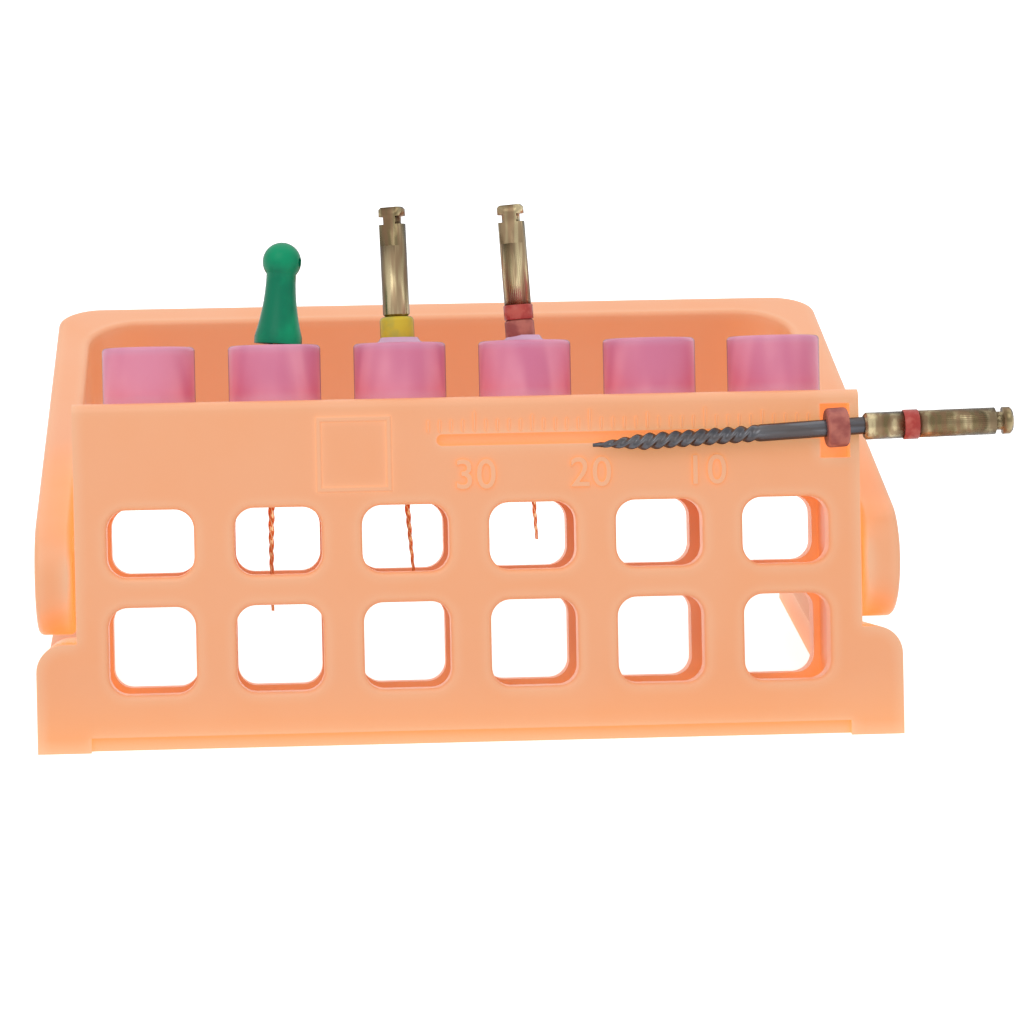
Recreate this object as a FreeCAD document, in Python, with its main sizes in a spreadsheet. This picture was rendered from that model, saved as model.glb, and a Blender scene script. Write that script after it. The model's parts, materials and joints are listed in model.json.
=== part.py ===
import FreeCAD, Part
import os

import Sketcher
from FreeCAD import Placement, Rotation, Vector

# Root canal file holder, in millimetres and degrees.
#
# A moulded stand leans back on two side feet. Files stand in six silicone plugs in its top shelf, and their
# blades show through two rows of windows. One more file lies on the ruler groove with its stop in the notch.
# A U-shaped cover swings on two trunnions of the stand. It is drawn open, to the back.
#
# Frame: X to the right, Y to the back, Z up. The origin is on the ground, in the middle of the underside of
# the front panel.
#
# Slab coordinates are used for all that leans: depth runs from the front panel to the back, square to the
# panel, and rise runs up along the panel.

doc = FreeCAD.newDocument("file_holder")

# Driving dimensions

SIZES = [
    # stand: the slab
    ("lean", 15, "backward lean of the slab from upright"),
    ("origin_depth", 1.4, "origin behind the line where the panel's front plane meets the ground"),
    ("slab_width", 68, "slab, left to right"),
    ("slab_depth", 11, "slab, front panel to back panel, square to the panel"),
    ("slab_rise", 30, "shelf above the ground line, measured up along the panel"),
    ("front_wall", 2.2, "front panel"),
    ("back_wall", 2.0, "back panel"),
    ("end_wall", 2.2, "slab ends"),
    ("shelf_wall", 2.6, "shelf that carries the plugs"),
    ("slab_edge_round", 0.8, "rounding of the slab's front top edge"),
    ("slab_corner_round", 0.6, "rounding of the slab's upright front edges"),
    ("plinth_rise", 1.3, "plain band along the foot of the front panel"),
    ("plinth_step", 0.5, "step of that band behind the panel"),
    # stand: windows
    ("column_count", 6, "files side by side"),
    ("column_pitch", 11, "file to file"),
    ("window_width", 7.5, "window, left to right"),
    ("lower_sill", 4.9, "lower window row, bottom edge up along the panel"),
    ("lower_opening", 7.5, "lower window, bottom to top"),
    ("upper_sill", 15.0, "upper window row, bottom edge up along the panel"),
    ("upper_opening", 5.8, "upper window, bottom to top"),
    ("window_corner", 1.7, "corner radius of the windows"),
    ("window_edge_round", 0.5, "soft front edge of the windows"),
    # stand: ruler groove and stop notch
    ("ruler_zero", 31.9, "zero of the ruler, right of the middle"),
    ("groove_rise", 26.3, "middle line of the ruler groove, up along the panel"),
    ("groove_length", 34.6, "ruler groove, from the zero to its left end"),
    ("groove_width", 1.0, "ruler groove, bottom to top"),
    ("groove_depth", 0.5, "ruler groove into the panel"),
    ("notch_width", 2.6, "stop notch, left to right"),
    ("notch_below", 2.2, "stop notch below the groove line"),
    ("notch_above", 2.5, "stop notch above the groove line"),
    ("notch_depth", 1.3, "stop notch into the panel"),
    # stand: bare square mark
    ("mark_left", -13.1, "left edge of the bare square mark"),
    ("mark_rise", 22.0, "bottom edge of the square mark, up along the panel"),
    ("mark_side", 6.5, "square mark, outer side"),
    ("mark_line", 0.45, "width of the mark's engraved line"),
    ("mark_depth", 0.25, "depth of the mark's engraved line"),
    # stand: feet
    ("foot_width", 3.5, "side foot beside the slab"),
    ("foot_rise", 9.4, "top of the foot, up along the panel"),
    ("foot_reach", 38, "back end of the foot rail"),
    ("rail_height", 3.0, "foot rail above the ground"),
    ("foot_round", 2.4, "outer shoulder of the foot"),
    ("rail_end_round", 1.4, "top of the rail's back end"),
    ("foot_fillet", 3.0, "hollow fillet between the foot and its rail"),
    # hinge
    ("pivot_depth", 5.3, "hinge line behind the front panel"),
    ("pivot_rise", 15.3, "hinge line, up along the panel"),
    ("trunnion_radius", 2.0, "trunnion stub"),
    ("trunnion_length", 2.2, "trunnion stub beside the slab"),
    ("trunnion_play", 0.06, "radial play of the stub in the hub"),
    ("lug_radius", 0.7, "stop lug"),
    ("lug_length", 1.1, "stop lug beside the slab"),
    ("lug_circle", 3.6, "stop lug from the hinge line"),
    ("lug_play", 0.12, "play of the lug in its slot"),
    ("swing", 60, "swing of the cover from open to closed"),
    # cover
    ("cover_tilt", 11, "rise of the open cover above level"),
    ("cover_gap", 0.3, "side play between slab and cover"),
    ("hub_radius", 5.3, "full-round hub and half the height of the cover"),
    ("hub_thickness", 3.2, "arm beside the slab"),
    ("arm_thickness", 2.6, "arm beyond its thick part"),
    ("thick_length", 26, "thick part of the arm from the hinge line"),
    ("arm_ramp", 1.2, "ramp from the thick to the thin part"),
    ("cover_reach", 46, "outer face of the cover's end wall from the hinge line"),
    ("cover_wall", 3.6, "end wall of the cover"),
    ("cover_outer_round", 3.4, "outer corners of the cover"),
    ("cover_inner_round", 5.0, "inner corners of the cover"),
    ("cover_edge_round", 0.5, "moulded edges of the cover"),
    # silicone plugs
    ("plug_depth", 5.5, "line of the plugs behind the front panel"),
    ("plug_diameter", 8.1, "plug head"),
    ("plug_height", 4.9, "plug head above the shelf"),
    ("plug_edge_round", 0.35, "rounding of the plug head's top edge"),
    ("stem_diameter", 5.3, "plug stem"),
    ("stem_play", 0.1, "radial play of the stem in its socket"),
    ("bead_diameter", 6.4, "snap bead under the shelf"),
    ("bead_height", 1.4, "snap bead"),
    ("bead_play", 0.1, "snap bead below the shelf"),
    ("blade_play", 0.05, "radial play of a blade in its plug or stop"),
    # latch shanks
    ("shank_diameter", 2.35, "latch shank of the rotary files"),
    ("latch_end", 0.8, "disc at the end of the shank"),
    ("latch_groove", 0.7, "length of the latch groove"),
    ("latch_groove_diameter", 1.6, "bottom of the latch groove"),
    ("latch_flat_length", 3.4, "drive flat from the end of the shank"),
    ("latch_flat_depth", 0.55, "drive flat into the shank"),
    ("shank_chamfer", 0.2, "chamfers of the shank"),
    ("root_length", 1.8, "blade root inside its shank or handle"),
    ("root_play", 0.02, "radial play of the blade root"),
    ("ring_length", 1.3, "colour ring on a shank"),
    ("ring_wall", 0.3, "colour ring, radial"),
    ("ring_proud", 0.12, "colour ring above the shank"),
    # file in plug 2, with a hand grip
    ("hand_column", 2, "plug that holds the hand file"),
    ("hand_tilt", 3, "lean of the hand file to the right"),
    ("hand_grip_length", 8.9, "grip of the hand file"),
    ("hand_ball_diameter", 3.4, "ball end of the grip"),
    ("hand_waist_diameter", 2.6, "waist of the grip"),
    ("hand_base_diameter", 4.2, "flared base of the grip"),
    ("hand_base_band", 0.6, "straight band at the base"),
    ("hand_eye_diameter", 0.8, "cross hole through the ball"),
    ("hand_blade_diameter", 0.9, "blade under the grip"),
    ("hand_blade_reach", 23.4, "blade tip below the grip"),
    ("hand_lift", 0.13, "grip above the plug, for its lean"),
    # file in plug 3, with a yellow stop
    ("rotary_a_column", 3, "plug that holds rotary file A"),
    ("rotary_a_shank_length", 9.6, "shank of rotary file A"),
    ("rotary_a_blade_diameter", 0.9, "blade of rotary file A under its shank"),
    ("rotary_a_blade_reach", 23.2, "blade tip of rotary file A below its shank"),
    ("rotary_a_stop_diameter", 3.0, "stop of rotary file A"),
    ("rotary_a_stop_height", 2.3, "stop of rotary file A"),
    # file in plug 4, with a red ring
    ("rotary_b_column", 4, "plug that holds rotary file B"),
    ("rotary_b_shank_length", 10.1, "shank of rotary file B"),
    ("rotary_b_blade_diameter", 0.9, "blade of rotary file B under its shank"),
    ("rotary_b_blade_reach", 19.4, "blade tip of rotary file B below its shank"),
    ("rotary_b_stop_diameter", 2.6, "stop of rotary file B"),
    ("rotary_b_stop_height", 1.8, "stop of rotary file B"),
    # file on the ruler
    ("measured_stand_off", 0.87, "axis of the measured file in front of the panel"),
    ("measured_above", 0.4, "axis of the measured file above the groove line at its stop"),
    ("measured_slope", 3, "the measured file falls towards its tip"),
    ("measured_length", 21.2, "tip of the measured file from the ruler's zero"),
    ("measured_point", 6.5, "tapering point of the measured file"),
    ("measured_tip_diameter", 0.3, "very tip of the measured file"),
    ("measured_blade_diameter", 1.7, "fluted part of the measured file"),
    ("measured_flute_length", 15.4, "fluted part with its point"),
    ("measured_shaft_diameter", 1.2, "smooth shaft of the measured file"),
    ("measured_stop_diameter", 3.4, "stop of the measured file"),
    ("measured_stop_height", 1.9, "stop of the measured file"),
    ("measured_neck", 1.4, "bare shaft between stop and shank"),
    ("measured_shank_length", 12.9, "shank of the measured file"),
    ("measured_ring_place", 3.4, "colour ring from the inner end of the shank"),
    # blades in common
    ("tip_diameter", 0.26, "very tip of a standing blade"),
    ("blade_shaft", 7.4, "smooth shaft of a standing blade below its shank or grip"),
]

sheet = doc.addObject("Spreadsheet::Sheet", "Sizes")
for row, (alias, value, meaning) in enumerate(SIZES, start=1):
    sheet.set("A%d" % row, meaning)
    sheet.set("B%d" % row, str(value))
    sheet.setAlias("B%d" % row, alias)
doc.recompute()


def size(expression):
    """Value of an expression of the driving dimensions, as a number."""
    return float(sheet.evalExpression(expression))


def bound(expression):
    """The same expression as another object writes it."""
    words = {alias for alias, value, meaning in SIZES}
    out, word = "", ""
    for letter in expression + " ":
        if letter.isalnum() or letter == "_":
            word += letter
            continue
        out += ("Sizes." + word if word in words else word) + letter
        word = ""
    return out.strip()


def bind(thing, **values):
    """Binds properties of an object to expressions. Two underscores stand for the dot of a sub-property."""
    for name, expression in values.items():
        thing.setExpression(name.replace("__", "."), bound(expression))


# Places in slab coordinates, as expressions of the world's Y and Z

def slab_y(depth, rise):
    return "(%s) * cos(lean) + (%s) * sin(lean) - origin_depth" % (depth, rise)


def slab_z(depth, rise):
    return "(%s) * cos(lean) - (%s) * sin(lean)" % (rise, depth)


# Sketches

def new_body(label):
    body = doc.addObject("PartDesign::Body", label)
    body.Label = label
    return body


def plane(body, role):
    return next(f for f in body.Origin.OriginFeatures if f.Role == role)


def new_sketch(body, name, role, turn=None, axis=Vector(1, 0, 0), base=None):
    """A sketch on an origin plane of its body, turned about axis and moved to base, both in that plane."""
    sketch = body.newObject("Sketcher::SketchObject", body.Name + "_" + name)
    sketch.AttachmentSupport = (plane(body, role), [""])
    sketch.MapMode = "FlatFace"
    sketch.AttachmentOffset = Placement(Vector(0, 0, 0), Rotation(axis, 0))
    if turn:
        bind(sketch, AttachmentOffset__Rotation__Angle=turn)
    for letter, expression in zip("xyz", base or ()):
        if expression:
            bind(sketch, **{"AttachmentOffset__Base__" + letter: expression})
    return sketch


def fix_coordinate(sketch, shape, end, kind, expression):
    index = sketch.addConstraint(Sketcher.Constraint(kind, -1, 1, shape, end, size(expression)))
    sketch.setExpression("Constraints[%d]" % index, bound(expression))


def fix_point(sketch, shape, end, x, y):
    """Fixes one end of a sketch element at a place given as two expressions."""
    fix_coordinate(sketch, shape, end, "DistanceX", x)
    fix_coordinate(sketch, shape, end, "DistanceY", y)


def add_outline(sketch, corners):
    """Closed outline. Each corner is (x, y) or (x, y, centre x, centre y, turn): the run from it to the next
    corner is straight, or an arc about that centre, anticlockwise where turn is 1 and clockwise where -1."""
    places = [Vector(size(c[0]), size(c[1]), 0) for c in corners]
    shapes = []
    for index, corner in enumerate(corners):
        here, there = places[index], places[(index + 1) % len(places)]
        if len(corner) == 2:
            shapes.append((sketch.addGeometry(Part.LineSegment(here, there), False), 1, 2))
            continue
        middle = Vector(size(corner[2]), size(corner[3]), 0)
        first, last = (here, there) if corner[4] > 0 else (there, here)
        circle = Part.Circle(middle, Vector(0, 0, 1), (here - middle).Length)
        arc = Part.ArcOfCircle(circle, circle.parameter(first), circle.parameter(last))
        ends = (1, 2) if corner[4] > 0 else (2, 1)
        shapes.append((sketch.addGeometry(arc, False),) + ends)
    for index, (shape, start, end) in enumerate(shapes):
        following, its_start, _ = shapes[(index + 1) % len(shapes)]
        sketch.addConstraint(Sketcher.Constraint("Coincident", shape, end, following, its_start))
        fix_point(sketch, shape, start, corners[index][0], corners[index][1])
    for index, ((shape, _, _), corner) in enumerate(zip(shapes, corners)):
        if len(corner) == 5:
            chord = places[(index + 1) % len(places)] - places[index]
            steep = abs(chord.y) >= abs(chord.x)
            fix_coordinate(sketch, shape, 3, "DistanceX" if steep else "DistanceY", corner[2 if steep else 3])
    return sketch


def add_circle(sketch, x, y, radius):
    circle = Part.Circle(Vector(size(x), size(y), 0), Vector(0, 0, 1), size(radius))
    shape = sketch.addGeometry(circle, False)
    fix_point(sketch, shape, 3, x, y)
    number = sketch.addConstraint(Sketcher.Constraint("Radius", shape, size(radius)))
    sketch.setExpression("Constraints[%d]" % number, bound(radius))
    return sketch


def add_rectangle(sketch, left, low, right, high):
    return add_outline(sketch, [(left, low), (right, low), (right, high), (left, high)])


def add_rounded(sketch, left, low, right, high, radius):
    """Rectangle with four round corners of one radius."""
    inner = {"l": "%s + %s" % (left, radius), "r": "%s - %s" % (right, radius),
             "b": "%s + %s" % (low, radius), "t": "%s - %s" % (high, radius)}
    return add_outline(sketch, [
        (inner["l"], low), (inner["r"], low, inner["r"], inner["b"], 1),
        (right, inner["b"]), (right, inner["t"], inner["r"], inner["t"], 1),
        (inner["r"], high), (inner["l"], high, inner["l"], inner["t"], 1),
        (left, inner["t"]), (left, inner["b"], inner["l"], inner["b"], 1)])


# Features

def pad(body, sketch, length, both=False, inward=False):
    """Pads a sketch along its normal, or against it, or half to each side."""
    feature = body.newObject("PartDesign::Pad", sketch.Name + "_pad")
    feature.Profile = sketch
    feature.SideType = "Symmetric" if both else "One side"
    feature.Reversed = inward
    bind(feature, Length=length)
    sketch.Visibility = False
    return feature


def pocket(body, sketch, length=None, both=False, outward=False):
    """Cuts a sketch against its normal, or along it, or half to each side, or right through."""
    feature = body.newObject("PartDesign::Pocket", sketch.Name + "_cut")
    feature.Profile = sketch
    feature.SideType = "Symmetric" if both else "One side"
    feature.Reversed = outward
    if length:
        bind(feature, Length=length)
    else:
        feature.Type = "ThroughAll"
    sketch.Visibility = False
    return feature


def repeat(body, features, name):
    """Repeats features along X, one for each file column."""
    pattern = body.newObject("PartDesign::LinearPattern", body.Name + "_" + name)
    pattern.Originals = features
    pattern.Direction = (plane(body, "X_Axis"), [""])
    bind(pattern, Length="column_pitch * (column_count - 1)", Occurrences="column_count")
    body.Tip = pattern
    return pattern


def mirror(body, features, name):
    """Mirrors features to the other side of the middle."""
    mirrored = body.newObject("PartDesign::Mirrored", body.Name + "_" + name)
    mirrored.Originals = features
    mirrored.MirrorPlane = (plane(body, "YZ_Plane"), [""])
    body.Tip = mirrored
    return mirrored


def fillet(body, name, radius, choose):
    """Rounds the edges of the body's last feature that choose accepts."""
    doc.recompute()
    base = body.Tip
    names = ["Edge%d" % n for n, edge in enumerate(base.Shape.Edges, start=1) if choose(edge)]
    feature = body.newObject("PartDesign::Fillet", body.Name + "_" + name)
    feature.Base = (base, names)
    bind(feature, Radius=radius)
    doc.recompute()
    return feature


def revolve(body, sketch):
    """Turns a profile about its sketch's upright axis, the body's own Z."""
    feature = body.newObject("PartDesign::Revolution", sketch.Name + "_turned")
    feature.Profile = sketch
    feature.ReferenceAxis = (sketch, ["V_Axis"])
    feature.Angle = 360
    sketch.Visibility = False
    return feature


# Tests on edges, for the fillets

NEAR = 1e-4


def depth_rise(point):
    """Slab coordinates of a point of the stand."""
    upright = Rotation(Vector(1, 0, 0), size("lean")).multVec(point + Vector(0, size("origin_depth"), 0))
    return upright.y, upright.z


def along(edge, x, y, z):
    """True if a straight edge runs along a direction."""
    if edge.Curve.TypeId != "Part::GeomLine":
        return False
    direction = edge.Curve.Direction
    return abs(abs(direction.dot(Vector(x, y, z).normalize())) - 1) < NEAR


# Stand

PANEL = (None, None, "origin_depth")
COLUMN_ONE = "-column_pitch * (column_count - 1) / 2"


def make_stand():
    body = new_body("stand_body")

    # Slab: a parallelogram with a level underside, its front band stepped back a little
    bottom = "slab_depth * tan(lean)"
    side = new_sketch(body, "side", "YZ_Plane")
    add_outline(side, [
        (slab_y("plinth_step", "plinth_step * tan(lean)"), "0"),
        (slab_y("slab_depth", bottom), "0"),
        (slab_y("slab_depth", "slab_rise"), slab_z("slab_depth", "slab_rise")),
        (slab_y("0", "slab_rise"), slab_z("0", "slab_rise")),
        (slab_y("0", "plinth_rise"), slab_z("0", "plinth_rise")),
        (slab_y("plinth_step", "plinth_rise"), slab_z("plinth_step", "plinth_rise"))])
    pad(body, side, "slab_width", both=True)

    # Chamber: hollow from below, as wide as the walls leave it
    chamber = new_sketch(body, "chamber", "YZ_Plane")
    front, back, top = "front_wall", "slab_depth - back_wall", "slab_rise - shelf_wall"
    under = "-plinth_rise"
    add_outline(chamber, [
        (slab_y(front, under), slab_z(front, under)),
        (slab_y(back, under), slab_z(back, under)),
        (slab_y(back, top), slab_z(back, top)),
        (slab_y(front, top), slab_z(front, top))])
    pocket(body, chamber, "slab_width - 2 * end_wall", both=True)

    # Feet: a cheek beside the slab, and a low rail to the back. Their outer shoulders are rounded below
    foot = new_sketch(body, "foot", "YZ_Plane", base=(None, None, "slab_width / 2 - end_wall / 2"))
    cheek_back = slab_y("slab_depth", "rail_height / cos(lean) + slab_depth * tan(lean)")
    add_outline(foot, [
        ("-origin_depth", "0"),
        ("foot_reach", "0"),
        ("foot_reach", "rail_height"),
        (cheek_back, "rail_height"),
        (slab_y("slab_depth", "foot_rise"), slab_z("slab_depth", "foot_rise")),
        (slab_y("0", "foot_rise"), slab_z("0", "foot_rise"))])
    foot_pad = pad(body, foot, "foot_width + end_wall / 2")

    # Trunnion stub and stop lug beside the slab, on the hinge line and on a circle round it
    pivot_y, pivot_z = slab_y("pivot_depth", "pivot_rise"), slab_z("pivot_depth", "pivot_rise")
    flank = (None, None, "slab_width / 2 - end_wall / 2")
    stub = new_sketch(body, "trunnion", "YZ_Plane", base=flank)
    add_circle(stub, pivot_y, pivot_z, "trunnion_radius")
    stub_pad = pad(body, stub, "trunnion_length + end_wall / 2")
    lug = new_sketch(body, "lug", "YZ_Plane", base=flank)
    lug_angle = "(cover_tilt + 180 + swing / 2)"
    add_circle(lug, "%s + lug_circle * cos%s" % (pivot_y, lug_angle),
               "%s + lug_circle * sin%s" % (pivot_z, lug_angle), "lug_radius")
    lug_pad = pad(body, lug, "lug_length + end_wall / 2")
    mirror(body, [foot_pad, stub_pad, lug_pad], "flanks")

    # Roundings: shoulders of the feet, the hollow behind each cheek, rail ends, front lip, upright edges
    outer = size("slab_width / 2 + foot_width")
    half = size("slab_width / 2")
    cheek_top = size("foot_rise")

    def on_shoulder(edge):
        middle = edge.CenterOfMass
        depth, rise = depth_rise(middle)
        flat_top = abs(rise - cheek_top) < NEAR and abs(abs(middle.x) - outer) < NEAR
        return flat_top and along(edge, 0, *depth_direction())

    def in_hollow(edge):
        middle = edge.CenterOfMass
        depth, rise = depth_rise(middle)
        at_wall = abs(depth - size("slab_depth")) < NEAR and abs(middle.z - size("rail_height")) < NEAR
        return at_wall and along(edge, 1, 0, 0) and abs(middle.x) > half

    def on_rail_end(edge):
        middle = edge.CenterOfMass
        at_end = abs(middle.y - size("foot_reach")) < NEAR and abs(middle.z - size("rail_height")) < NEAR
        return at_end and along(edge, 1, 0, 0)

    def on_lip(edge):
        depth, rise = depth_rise(edge.CenterOfMass)
        at_lip = abs(depth) < NEAR and abs(rise - size("slab_rise")) < NEAR
        return at_lip and along(edge, 1, 0, 0)

    fillet(body, "hollows", "foot_fillet", in_hollow)
    fillet(body, "rail_ends", "rail_end_round", on_rail_end)
    fillet(body, "shoulders", "foot_round", on_shoulder)
    fillet(body, "lip", "slab_edge_round", on_lip)

    # Windows right through both panels, one of each row, then repeated
    left = "%s - window_width / 2" % COLUMN_ONE
    right = "%s + window_width / 2" % COLUMN_ONE
    windows = []
    for name in ("lower", "upper"):
        sill, opening = name + "_sill", name + "_opening"
        window = new_sketch(body, name, "XZ_Plane", turn="-lean", base=PANEL)
        add_rounded(window, left, sill, right, "%s + %s" % (sill, opening), "window_corner")
        windows.append(pocket(body, window, "slab_depth + window_width"))
    socket = new_sketch(body, "socket", "XY_Plane", turn="-lean",
                        base=(None, slab_y("0", "slab_rise"), slab_z("0", "slab_rise")))
    add_circle(socket, COLUMN_ONE, "plug_depth", "stem_diameter / 2 + stem_play")
    windows.append(pocket(body, socket, "shelf_wall + stem_play"))
    repeat(body, windows, "columns")

    def on_window(edge):
        middle = edge.CenterOfMass
        depth, rise = depth_rise(middle)
        low, high = size("lower_sill") - NEAR, size("upper_sill + upper_opening") + NEAR
        return abs(depth) < NEAR and low < rise < high and abs(middle.x) < half - NEAR

    fillet(body, "window_edges", "window_edge_round", on_window)

    # Ruler groove, stop notch and the bare square mark, all cut into the panel
    groove = new_sketch(body, "groove", "XZ_Plane", turn="-lean", base=PANEL)
    radius = "groove_width / 2"
    first, last = "ruler_zero - groove_length + %s" % radius, "ruler_zero"
    low, high = "groove_rise - %s" % radius, "groove_rise + %s" % radius
    add_outline(groove, [
        (first, low), (last, low), (last, high), (first, high, first, "groove_rise", 1)])
    pocket(body, groove, "groove_depth")
    notch = new_sketch(body, "notch", "XZ_Plane", turn="-lean", base=PANEL)
    add_rectangle(notch, "ruler_zero - notch_width / 2", "groove_rise - notch_below",
                  "ruler_zero + notch_width / 2", "groove_rise + notch_above")
    pocket(body, notch, "notch_depth")
    mark = new_sketch(body, "mark", "XZ_Plane", turn="-lean", base=PANEL)
    add_rectangle(mark, "mark_left", "mark_rise", "mark_left + mark_side", "mark_rise + mark_side")
    add_rectangle(mark, "mark_left + mark_line", "mark_rise + mark_line",
                  "mark_left + mark_side - mark_line", "mark_rise + mark_side - mark_line")
    pocket(body, mark, "mark_depth")
    return body


def depth_direction():
    """Y and Z of the direction square to the panel."""
    return size("cos(lean)"), -size("sin(lean)")


# Cover: drawn lying along its own Y from the hinge line, then turned up by its tilt

def make_cover():
    body = new_body("swing_cover")
    inner = "slab_width / 2 + cover_gap"
    outer, thin = "%s + hub_thickness" % inner, "%s + arm_thickness" % inner
    ramp_end = "thick_length + arm_ramp"
    turn_y = "cover_reach - cover_outer_round"
    turn_x = "%s - cover_outer_round" % thin
    back = "cover_reach - cover_wall"
    bend_y = "%s - cover_inner_round" % back
    bend_x = "%s - cover_inner_round" % inner

    def other(expression):
        return "-(%s)" % expression

    plan = new_sketch(body, "plan", "XY_Plane")
    add_outline(plan, [
        (outer, "0"), (outer, "thick_length"), (thin, ramp_end), (thin, turn_y, turn_x, turn_y, 1),
        (turn_x, "cover_reach"), (other(turn_x), "cover_reach", other(turn_x), turn_y, 1),
        (other(thin), turn_y), (other(thin), ramp_end), (other(outer), "thick_length"), (other(outer), "0"),
        (other(inner), "0"), (other(inner), bend_y, other(bend_x), bend_y, -1),
        (other(bend_x), back), (bend_x, back, bend_x, bend_y, -1), (inner, bend_y), (inner, "0")])
    pad(body, plan, "2 * hub_radius", both=True)

    hub = new_sketch(body, "hub", "YZ_Plane", base=(None, None, inner))
    add_circle(hub, "0", "0", "hub_radius")
    hub_pad = pad(body, hub, "hub_thickness")
    mirror(body, [hub_pad], "hubs")

    def on_edge(edge):
        flat = abs(abs(edge.CenterOfMass.z) - size("hub_radius")) < NEAR
        return flat and edge.CenterOfMass.y > NEAR and not along(edge, 0, 0, 1) and edge.Length > NEAR

    def on_rim(edge):
        box = edge.BoundBox
        on_face = box.XLength < NEAR and abs(abs(box.Center.x) - size(outer)) < NEAR
        return on_edge(edge) or (on_face and edge.Curve.TypeId == "Part::GeomCircle")

    fillet(body, "edges", "cover_edge_round", on_rim)

    # Blind bore for the trunnion and arc slot for the stop lug, cut outward into the inner face of the hub
    bore = new_sketch(body, "bore", "YZ_Plane", base=(None, None, inner))
    add_circle(bore, "0", "0", "trunnion_radius + trunnion_play")
    bore_cut = pocket(body, bore, "trunnion_length - cover_gap + lug_play", outward=True)
    slot = new_sketch(body, "slot", "YZ_Plane", base=(None, None, inner))
    half_width = "(lug_radius + lug_play)"
    spare = "(lug_play / lug_circle * 180 / pi)"
    start, end = "(180 - swing / 2 - %s)" % spare, "(180 + swing / 2 + %s)" % spare

    def at(reach, angle):
        return "%s * cos%s" % (reach, angle), "%s * sin%s" % (reach, angle)

    wide, near = "(lug_circle + %s)" % half_width, "(lug_circle - %s)" % half_width
    add_outline(slot, [
        at(wide, start) + ("0", "0", 1), at(wide, end) + at("lug_circle", end) + (1,),
        at(near, end) + ("0", "0", -1), at(near, start) + at("lug_circle", start) + (1,)])
    slot_cut = pocket(body, slot, "lug_length - cover_gap + lug_play", outward=True)
    mirror(body, [bore_cut, slot_cut], "seats")

    body.Placement = Placement(Vector(0, 0, 0), Rotation(Vector(1, 0, 0), 0))
    bind(body, Placement__Rotation__Angle="cover_tilt",
         Placement__Base__y=slab_y("pivot_depth", "pivot_rise"),
         Placement__Base__z=slab_z("pivot_depth", "pivot_rise"))
    return body


# Things that stand in the shelf: drawn upright at their own foot, then set on the shelf with its lean

def stand_in_shelf(body, column, rise, tilt="0"):
    """Sets a body upright on the shelf at a file column, rise above it, tilted to the right by tilt."""
    x = "column_pitch * (%s - (column_count + 1) / 2)" % column
    lean = Rotation(Vector(1, 0, 0), -size("lean"))
    body.Placement = Placement(Vector(0, 0, 0), lean.multiply(Rotation(Vector(0, 1, 0), size(tilt))))
    bind(body, Placement__Base__x="%s + (%s) * sin(%s)" % (x, rise, tilt),
         Placement__Base__y=slab_y("plug_depth", "slab_rise + %s" % rise),
         Placement__Base__z=slab_z("plug_depth", "slab_rise + %s" % rise))


def turned(label, profile):
    """A turned piece about its own Z. The profile's corners are (radius, height)."""
    body = new_body(label)
    sketch = new_sketch(body, "profile", "XZ_Plane")
    add_outline(sketch, profile)
    revolve(body, sketch)
    return body


def make_plug(number, blade, tilt="0"):
    """A silicone plug: head on the shelf, stem in its socket, snap bead below. blade is the diameter of the
    file that pierces it, or None."""
    edge = "plug_edge_round"
    head, stem, bead = "plug_diameter / 2", "stem_diameter / 2", "bead_diameter / 2"
    lip = "-(shelf_wall + bead_play)"
    foot = "-(shelf_wall + bead_play + bead_height)"
    body = turned("silicone_plug_%d" % number, [
        ("0", foot), (stem, foot), (bead, "%s - bead_height / 4" % lip), (bead, lip), (stem, lip),
        (stem, "0"), (head, "0"), (head, "plug_height - %s" % edge, "%s - %s" % (head, edge),
                                   "plug_height - %s" % edge, 1),
        ("%s - %s" % (head, edge), "plug_height"), ("0", "plug_height")])
    if blade:
        hole = new_sketch(body, "pierced", "XY_Plane", turn=tilt, axis=Vector(0, 1, 0))
        add_circle(hole, "0", "0", "%s / 2 + blade_play" % blade)
        pocket(body, hole, "4 * (plug_height + shelf_wall + bead_height)", both=True)
    stand_in_shelf(body, str(number), "0")
    return body


def make_shank(label, length, blade, ring_start):
    """A latch shank with its blade end at its foot: a bore for the blade's root, a seat for the colour ring
    where it has one, a drive flat, and the latch groove below its end disc."""
    radius, seat = "shank_diameter / 2", "(shank_diameter / 2 + ring_proud - ring_wall - root_play)"
    cut = "shank_chamfer"
    bore = "(%s / 2 + root_play)" % blade
    groove_top = "%s - latch_end" % length
    groove_foot = "%s - latch_groove" % groove_top
    profile = [("0", "root_length + root_play"), (bore, "root_length + root_play"), (bore, "0")]
    if ring_start == "0":
        profile += [(seat, "0"), (seat, "ring_length + root_play"), (radius, "ring_length + root_play")]
    else:
        profile += [("%s - %s" % (radius, cut), "0"), (radius, cut)]
    if ring_start not in (None, "0"):
        ring_end = "%s + ring_length + root_play" % ring_start
        profile += [(radius, ring_start), (seat, ring_start), (seat, ring_end), (radius, ring_end)]
    narrow = "latch_groove_diameter / 2"
    profile += [(radius, groove_foot), (narrow, groove_foot), (narrow, groove_top), (radius, groove_top),
                (radius, "%s - %s" % (length, cut)), ("%s - %s" % (radius, cut), length), ("0", length)]
    body = turned(label, profile)
    flat = new_sketch(body, "flat", "XZ_Plane", base=(None, None, "-(%s - latch_flat_depth)" % radius))
    add_rectangle(flat, "-shank_diameter", "%s - latch_flat_length" % length, "shank_diameter", length)
    pocket(body, flat, "shank_diameter")
    return body


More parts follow.
